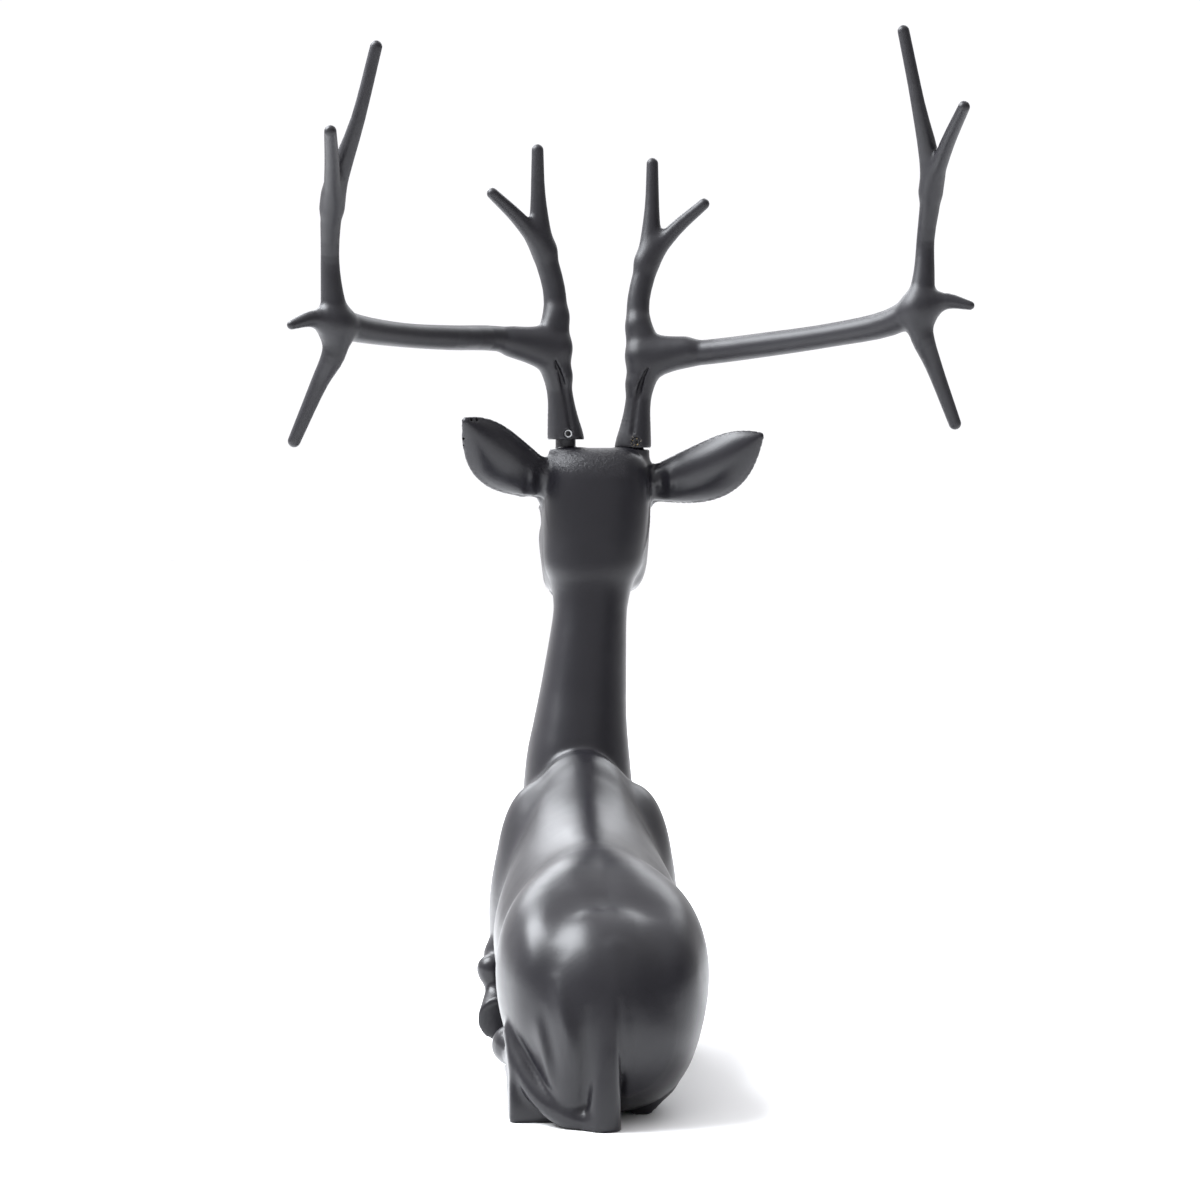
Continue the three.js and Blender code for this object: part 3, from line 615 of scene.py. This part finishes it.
def antler(side):
    """All limbs of one antler, joined with fillets and cut flat at the rim, with the socket, the screw's hole
    and the groove along the stem."""
    setting = SETTING[side]
    rim, facing = rim_and_facing(side)
    back, out = np.radians(setting["back"]), np.radians(setting["out"])
    heading = np.array([np.cos(facing), np.sin(facing), 0])
    across = np.array([-np.sin(facing), np.cos(facing), 0])

    def placed(rows):
        outward, forward, up, radius = np.array(rows, float).T
        ahead = forward * np.cos(back) - up * np.sin(back)
        lift = up * np.cos(back) + forward * np.sin(back)
        aside = setting["sign"] * (outward * np.cos(out) + lift * np.sin(out))
        lift = lift * np.cos(out) - outward * np.sin(out)
        centres = rim + ahead[:, None] * heading + aside[:, None] * across + lift[:, None] * UP
        return np.column_stack([centres, radius])

    limbs = {name: np.array(rows, float) for name, rows in ANTLER_LIMBS.items()}
    limbs["beam"][1:-1, 2] += BEAM_BOW[side]
    form = join(11, *(limb(placed(rows)) for rows in limbs.values()))
    depth = PEG_LENGTH - SEAT_GAP[side] + SOCKET_EXTRA_DEPTH
    bore = upright(rim, (PEG_DIAMETER / 2 + SOCKET_CLEARANCE) / STEP, depth / STEP)
    hole_from = rim + UP * SCREW_ABOVE_RIM / STEP
    hole_radius = (SCREW_DIAMETER / 2 + RUNNING_GAP) / STEP
    hole_ends = (hole_from, hole_from - heading * SCREW_HOLE_REACH)
    hole = limb([tuple(end) + (hole_radius,) for end in hole_ends], 1)
    form = carve(1.5, form, upright(rim - UP * BELOW_RIM_DEPTH, BELOW_RIM_RADIUS, BELOW_RIM_DEPTH))
    return carve(0.8, carve(2.5, form, limb(placed(SEAM_ROWS))), bore, hole)


def upright(foot, radius, height):
    """Round upright cylinder that ends at a height over a place and has no lower end."""

    def form(points):
        away = np.hypot(points[:, 0] - foot[0], points[:, 1] - foot[1]) - radius
        return np.maximum(away, points[:, 2] - foot[2] - height)

    return form


def planes(start, *stretches):
    """Grid planes from a value on, with each stretch (until, spacing) cut evenly."""
    values = [start]
    for until, spacing in stretches:
        count = int(round((until - values[-1]) / spacing))
        values.extend(np.linspace(values[-1], until, count + 1)[1:])
    return np.array(values)


# How many points a form is asked for at once, and every how many planes the first look at a form takes
BATCH = 200000
COARSE = 4


def at_nodes(form, planes_of, mask):
    """Values of a form at the masked nodes of a grid."""
    spots = np.nonzero(mask)
    points = np.stack([axis[spot] for axis, spot in zip(planes_of, spots)], axis=1)
    values = np.empty(len(points), np.float64)
    for start in range(0, len(points), BATCH):
        values[start : start + BATCH] = form(points[start : start + BATCH])
    return values


def close_nodes(form, planes_of):
    """Values on every fourth plane, spread over the fine nodes, and which fine nodes are near the surface."""
    coarse_planes = [axis[::COARSE] for axis in planes_of]
    shape = tuple(len(axis) for axis in coarse_planes)
    coarse = at_nodes(form, coarse_planes, np.ones(shape, bool)).reshape(shape)
    wide = max(np.diff(axis).max() for axis in coarse_planes)
    near = np.abs(coarse) < wide * 1.6
    fine_index = [np.minimum((np.arange(len(axis)) + COARSE // 2) // COARSE, count - 1)
                  for axis, count in zip(planes_of, shape)]
    chosen = np.ix_(*fine_index)
    return coarse[chosen].astype(np.float32), near[chosen]


def skin(form, planes_of):
    """Closed skin of a form as points and four-sided faces: a point in each grid cell that the surface
    passes, at the mean of the cell's cut edges and then settled on the surface, and a face across each cut
    edge."""
    values, near = close_nodes(form, planes_of)
    values[near] = at_nodes(form, planes_of, near)
    inside = values < 0
    corners = [(i, j, k) for i in (0, 1) for j in (0, 1) for k in (0, 1)]
    cells = [tuple(slice(c, size - 1 + c) for c, size in zip(corner, inside.shape)) for corner in corners]
    count = sum(inside[cell].astype(np.uint8) for cell in cells)
    mixed = (count > 0) & (count < 8)
    spots = np.nonzero(mixed)
    number = np.full(mixed.shape, -1, np.int64)
    number[spots] = np.arange(len(spots[0]))
    total = np.zeros((len(spots[0]), 3))
    cuts = np.zeros(len(spots[0]))
    for corner in corners:
        for axis in range(3):
            if corner[axis]:
                continue
            other = list(corner)
            other[axis] = 1
            start = tuple(spot + c for spot, c in zip(spots, corner))
            end = tuple(spot + c for spot, c in zip(spots, other))
            a, b = values[start].astype(float), values[end].astype(float)
            cut = (a < 0) != (b < 0)
            share = np.where(cut, a / np.where(cut, a - b, 1), 0)
            ends = [np.stack([plane[n] for plane, n in zip(planes_of, where)], axis=1)
                    for where in (start, end)]
            total += (ends[0] + share[:, None] * (ends[1] - ends[0])) * cut[:, None]
            cuts += cut
    points = settle(form, total / cuts[:, None])
    return points, np.vstack([faces_across(inside, number, axis) for axis in range(3)])


def faces_across(inside, number, axis):
    """Faces across the cut grid edges along one axis, each between the four cells round the edge, wound to
    face outwards."""
    one, two = (axis + 1) % 3, (axis + 2) % 3
    turned = np.transpose(inside, (axis, one, two))
    cells = np.transpose(number, (axis, one, two))
    cut = turned[:-1, 1:-1, 1:-1] != turned[1:, 1:-1, 1:-1]
    a, b, c = np.nonzero(cut)
    outward = turned[a, b + 1, c + 1]
    around = [cells[a, b, c], cells[a, b + 1, c], cells[a, b + 1, c + 1], cells[a, b, c + 1]]
    quads = np.stack(around, axis=1)
    quads[~outward] = quads[~outward][:, ::-1]
    return quads


def slope_of(form, points, nudge=0.4):
    """Slope of a form at points, by moving a little each way along every axis."""
    parts = [form(points + axis * nudge) - form(points - axis * nudge) for axis in BODY_AXES]
    return np.stack(parts, axis=1) / (2 * nudge)


def settle(form, points, passes=3, longest=2.0):
    """Moves points on to the surface of a form: each pass by minus the value along the slope, over the
    slope's square, and never far."""
    for _ in range(passes):
        slope = slope_of(form, points)
        pull = -form(points) / np.maximum((slope**2).sum(1), 0.15)
        move = pull[:, None] * slope
        far = np.maximum(np.linalg.norm(move, axis=1) / longest, 1)
        points = points + move / far[:, None]
    return points


def make_piece(name, points, faces, material):
    """An object of the frame from places in the frame and faces."""
    mesh = bpy.data.meshes.new(name)
    mesh.from_pydata(points.tolist(), [], faces.tolist())
    mesh.validate()
    mesh.shade_smooth()
    mesh.materials.append(material)
    piece = bpy.data.objects.new(name, mesh)
    bpy.context.scene.collection.objects.link(piece)
    return piece


class Value:
    """A shader socket that takes part in Python sums."""

    def __init__(self, paint, socket):
        self.paint = paint
        self.socket = socket

    def _math(self, operation, *others):
        values = [other.socket if isinstance(other, Value) else other for other in others]
        node = self.paint.node("ShaderNodeMath", {"operation": operation}, dict(enumerate(values)))
        return Value(self.paint, node.outputs[0])

    def __add__(self, other):
        return self._math("ADD", self, other)

    __radd__ = __add__

    def __mul__(self, other):
        return self._math("MULTIPLY", self, other)

    __rmul__ = __mul__

    def __sub__(self, other):
        return self._math("SUBTRACT", self, other)

    def __rsub__(self, other):
        return self._math("SUBTRACT", other, self)

    def __pow__(self, other):
        return self._math("POWER", self, other)

    def between(self, low, high):
        """0 below low, 1 above high, and smooth between."""
        node = self.paint.node("ShaderNodeMapRange", {"interpolation_type": "SMOOTHSTEP"},
                               {"Value": self.socket, "From Min": low, "From Max": high})
        return Value(self.paint, node.outputs[0])


class Paint:
    """A material, or the world, under construction."""

    def __init__(self, holder, shader="Principled BSDF", places="Object"):
        holder.use_nodes = True
        self.holder = holder
        self.tree = holder.node_tree
        self.shader = self.tree.nodes[shader]
        self.places = self.node("ShaderNodeTexCoord").outputs[places]

    def node(self, kind, settings=None, inputs=None):
        """A node of a type, with its settings made first and then its sockets' values or links."""
        made = self.tree.nodes.new(kind)
        for key, value in (settings or {}).items():
            setattr(made, key, value)
        for key, value in (inputs or {}).items():
            value = value.socket if isinstance(value, Value) else value
            if isinstance(value, bpy.types.NodeSocket):
                self.tree.links.new(value, made.inputs[key])
            else:
                made.inputs[key].default_value = value
        return made

    def noise(self, scale, detail=2.0, roughness=0.5, stretch=None):
        """Noise on the object's own places, at so many waves per metre, maybe stretched along the axes."""
        places = self.places
        if stretch is not None:
            places = self.node("ShaderNodeMapping", None, {"Vector": places, "Scale": stretch}).outputs[0]
        made = self.node("ShaderNodeTexNoise", None,
                         {"Vector": places, "Scale": scale, "Detail": detail, "Roughness": roughness})
        return Value(self, made.outputs["Fac"])

    def axis(self, name):
        """The object's own X, Y or Z in metres."""
        return Value(self, self.node("ShaderNodeSeparateXYZ", None, {"Vector": self.places}).outputs[name])

    def from_axis_of(self, centre):
        """Distance in metres from the level line that runs forward through a place."""
        return ((self.axis("X") - centre[0]) ** 2 + (self.axis("Z") - centre[2]) ** 2) ** 0.5

    def mix(self, factor, first, second):
        """Colour between two."""
        made = self.node("ShaderNodeMix", {"data_type": "RGBA"}, {"Factor": factor, 6: first, 7: second})
        return made.outputs[2]

    def feed(self, socket, value):
        """Links or sets a socket of the shader."""
        value = value.socket if isinstance(value, Value) else value
        if isinstance(value, bpy.types.NodeSocket):
            self.tree.links.new(value, self.shader.inputs[socket])
        else:
            self.shader.inputs[socket].default_value = value

    def relief(self, height, depth, strength=1.0, under=None):
        """Bump of a height, with 1 standing for so many metres."""
        inputs = {"Height": height, "Distance": depth, "Strength": strength}
        if under is not None:
            inputs["Normal"] = under
        return self.node("ShaderNodeBump", None, inputs).outputs[0]


def screw_centre(side):
    """Middle of a set screw in the frame."""
    low, high = (np.array(corner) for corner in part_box(f"set_screw_{side}"))
    return [float(value) for value in (low + high) / 2]


# Where the crown keeps the rough skin of the casting: heights, and how far to the sides, in metres
ROUGH_FROM = 650 * STEP
ROUGH_TO = PEDICLE_TOP * STEP
ROUGH_ASIDE = 0.034

# Round the right screw, in metres: within the first the lacquer may be chipped, past the second it is whole
CHIPPED = 0.0028
WHOLE = 0.0060

# Gloss of the body and of the antlers, as the least roughness
BODY_ROUGHNESS = 0.22
ANTLER_ROUGHNESS = 0.34

# Radius of the painted shade over a screw's hex socket, and of the bare metal ring round it where that shade
# has faded out, in metres
SOCKET_SHADE_EDGE = 0.0021
RING_EDGE = 0.0024

# Colours
LACQUER_DARK = (0.0065, 0.0060, 0.0085, 1)
LACQUER_LIGHT = (0.0125, 0.0120, 0.0155, 1)
BARE_IRON = (0.30, 0.27, 0.22, 1)
# Black of the lacquer left on the screws, also used as painted shade in their hex sockets
SCREW_LACQUER_AND_SOCKET_SHADE = (0.01, 0.01, 0.012, 1)
STEEL_COLOUR = (0.55, 0.56, 0.58, 1)
BRASS_COLOUR = (0.40, 0.30, 0.15, 1)


def black_iron(name, least_roughness):
    """Satin black lacquer on a smooth casting: the colour and the gloss drift a little, with faint brush
    marks, over a fine cast grain and a few low waves of the surface. The crown is rough, and the lacquer is
    chipped at the right screw."""
    paint = Paint(bpy.data.materials.new(name))
    drift = paint.noise(7, 3)
    patches = paint.noise(28, 4, 0.6)
    strokes = paint.noise(60, 3, 0.6, (1.0, 0.25, 1.6))
    grain = paint.noise(1100, 2)
    waves = paint.noise(22, 2)
    pits = paint.noise(380, 3, 0.7)
    worn = patches.between(0.56, 0.74) * drift.between(0.42, 0.62)
    height = paint.axis("Z")
    aside = ((paint.axis("X") - float(ORIGIN[0])) ** 2) ** 0.5
    crown = height.between(ROUGH_FROM, ROUGH_FROM + 0.012) * (1 - height.between(ROUGH_TO, ROUGH_TO + 0.001))
    crown = crown * (1 - aside.between(ROUGH_ASIDE, ROUGH_ASIDE + 0.010))
    screw = paint.from_axis_of(screw_centre("right"))
    chips = (1 - screw.between(CHIPPED, WHOLE)) * pits.between(0.52, 0.60)
    lacquer = paint.mix(drift, LACQUER_DARK, LACQUER_LIGHT)
    paint.feed("Base Color", paint.mix(chips, lacquer, BARE_IRON))
    uneven = drift * 0.10 + strokes * 0.07 + grain * 0.04 + worn * 0.06 + crown * 0.12
    paint.feed("Roughness", uneven + least_roughness)
    paint.feed("IOR", 1.43)
    low = paint.relief(waves, 0.0016, 0.5)
    brushed = paint.relief(strokes, 0.0002, 0.5, low)
    rough = paint.relief(pits * crown, 0.0012, 0.9, brushed)
    paint.feed("Normal", paint.relief(grain, 0.00008, 0.6, rough))
    return paint.holder


def screw_metal(name, side, colour, lacquer_left):
    """Turned metal with painted shade in a round patch over its hex socket, and black lacquer left on about a
    share of it.
    """
    paint = Paint(bpy.data.materials.new(name))
    scratches = paint.noise(1500, 1, 0.5, (1, 1, 0.1))
    # Painted shade over the hex socket: black within the first radius, fading out into the bare metal by the
    # second
    painted_socket_shade = 1 - paint.from_axis_of(screw_centre(side)).between(SOCKET_SHADE_EDGE, RING_EDGE)
    lacquer = paint.noise(700, 2).between(1 - lacquer_left, 1.04 - lacquer_left)
    bare = (1 - painted_socket_shade) * (1 - lacquer)
    paint.feed("Base Color", paint.mix(bare, SCREW_LACQUER_AND_SOCKET_SHADE, colour))
    paint.feed("Metallic", bare)
    paint.feed("Roughness", scratches * 0.2 + 0.28)
    return paint.holder


IRON = black_iron("black_iron", BODY_ROUGHNESS)
MATT_IRON = black_iron("matt_black_iron", ANTLER_ROUGHNESS)
STEEL = screw_metal("screw_steel", "left", STEEL_COLOUR, 0.1)
BRASS = screw_metal("screw_brass", "right", BRASS_COLOUR, 0.62)

# Grid planes of the body, forward, left and up, finer at the head
BODY_GRID = [
    planes(-34, (540, 4.3), (862, 2.7)),
    planes(-224, (160, 3.15)),
    planes(-10, (440, 4.3), (728, 2.7)),
]
ANTLER_SPACING = 2.1
ANTLER_MARGIN = 14


def fused(name, form, grid, material, node):
    """One casting over a form, standing for a node."""
    points, faces = skin(form, grid)
    points[:, 2] = np.maximum(points[:, 2], 0)
    piece = make_piece(name, to_frame(points), faces, material)
    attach(piece, "root")
    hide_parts(node)


fused("stag_casting", stag(), BODY_GRID, IRON, "stag_body")

for side in SETTING:
    low, high = ((np.array(corner) - ORIGIN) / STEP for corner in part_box(f"antler_{side}"))
    spans = [(-high[1], -low[1]), (low[0], high[0]), (low[2], high[2])]
    grid = [planes(start - ANTLER_MARGIN, (end + ANTLER_MARGIN, ANTLER_SPACING)) for start, end in spans]
    fused(f"antler_casting_{side}", antler(side), grid, MATT_IRON, f"antler_{side}")

for side, metal in (("left", STEEL), ("right", BRASS)):
    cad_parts[f"set_screw_{side}"].data.materials.clear()
    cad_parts[f"set_screw_{side}"].data.materials.append(metal)

# Camera: place in steps, turn and dip in degrees, and focus in picture points
CAMERA_PLACE = (-3793.9, 238.1, 699.8)
CAMERA_TURN = 3.424
CAMERA_DIP = 2.4446
CAMERA_FOCUS = 3802.9
IMAGE_SIDE = 1200
SENSOR = 36

# White room: strength at the horizon, and what is added overhead, behind the camera and on the stag's right
ROOM_STRENGTH = 1.05
ROOM_OVERHEAD = 0.35
ROOM_BEHIND = -0.42
ROOM_RIGHT = -0.60
ROOM_COLOUR = (0.985, 0.98, 1, 1)

# Soft lights: name, place and aim in metres, size and power
LIGHTS = [
    ("rump_left", (1.4, -0.1, 2.1), (0, 0.2, 0.2), 1.6, 150),
    ("ahead_left", (1.25, -3.0, 2.4), (0, 0, 0.2), 1.9, 62),
    ("ahead_right", (-1.35, -2.5, 2.5), (0, 0, 0.2), 1.9, 34),
]
LIGHT_COLOUR = (0.93, 0.96, 1.0)
FLOOR_HALF = 12.0


def white_room():
    """White surroundings, brighter overhead, dimmer behind the camera and on the stag's right."""
    world = bpy.data.worlds.new("studio")
    room = Paint(world, "Background", "Generated")
    parts = room.node("ShaderNodeSeparateXYZ", None, {"Vector": room.places})
    behind = Value(room, parts.outputs["Y"]).between(-0.1, 0.9)
    overhead = Value(room, parts.outputs["Z"]).between(0.25, 0.9)
    right = 1 - Value(room, parts.outputs["X"]).between(-0.9, -0.2)
    changes = behind * ROOM_BEHIND + right * ROOM_RIGHT + overhead * ROOM_OVERHEAD
    room.feed("Strength", changes + ROOM_STRENGTH)
    room.feed("Color", ROOM_COLOUR)
    bpy.context.scene.world = world


def studio():
    """A pale floor, a white room and three soft lights, beside the left rump and high ahead on both sides."""
    paint = Paint(bpy.data.materials.new("pale_floor"))
    paint.feed("Base Color", (0.97, 0.97, 0.97, 1))
    paint.feed("Roughness", 0.9)
    corners = np.array([(-1, -1, 0), (1, -1, 0), (1, 1, 0), (-1, 1, 0)]) * FLOOR_HALF
    make_piece("floor", corners, np.array([[0, 1, 2, 3]]), paint.holder)
    white_room()
    for name, place, aim, size, power in LIGHTS:
        lamp = bpy.data.lights.new(name, "AREA")
        lamp.size = size
        lamp.energy = power
        lamp.color = LIGHT_COLOUR
        made = bpy.data.objects.new(name, lamp)
        made.location = place
        way = Vector(aim) - Vector(place)
        made.rotation_euler = way.to_track_quat("-Z", "Y").to_euler()
        bpy.context.scene.collection.objects.link(made)


def photo_camera():
    """The camera behind the stag, a little to its left, level with its crown and dipped."""
    camera = bpy.data.cameras.new("camera")
    camera.sensor_width = SENSOR
    camera.lens = CAMERA_FOCUS / IMAGE_SIDE * SENSOR
    made = bpy.data.objects.new("camera", camera)
    made.location = to_frame(CAMERA_PLACE)
    made.rotation_euler = (np.radians(90 - CAMERA_DIP), 0, np.radians(180 - CAMERA_TURN))
    bpy.context.scene.collection.objects.link(made)
    bpy.context.scene.camera = made


studio()
photo_camera()
bpy.context.scene.view_settings.view_transform = "Standard"
